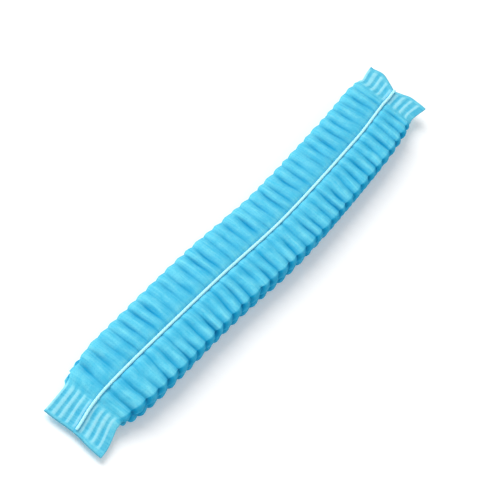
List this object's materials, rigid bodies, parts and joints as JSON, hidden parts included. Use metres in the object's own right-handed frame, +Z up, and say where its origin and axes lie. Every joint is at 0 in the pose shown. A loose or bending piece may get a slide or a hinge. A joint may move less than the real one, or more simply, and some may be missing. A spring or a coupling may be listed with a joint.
{
  "type": "disposable hairnet",
  "caption": "Strip hairnet of gathered non-woven cloth, folded flat into a narrow ribbed band with an elastic thread along each face; it pulls open into a round cap.",
  "frame": {"origin": "on the surface that the strip rests on, under the middle of its outline", "axes": "+X along the strip, towards the seal whose edge is notched; +Y across it, towards the mouth of the bag; +Z up"},
  "size_m": [0.2002, 0.0278, 0.0105],
  "materials": {
    "nonwoven": "matte spunbond cloth, light cyan blue",
    "elastic": "matte white covered thread"
  },
  "bodies": {
    "root": {"cap_fabric": "nonwoven", "elastic_upper": "elastic", "elastic_lower": "elastic"}
  },
  "joints": []
}
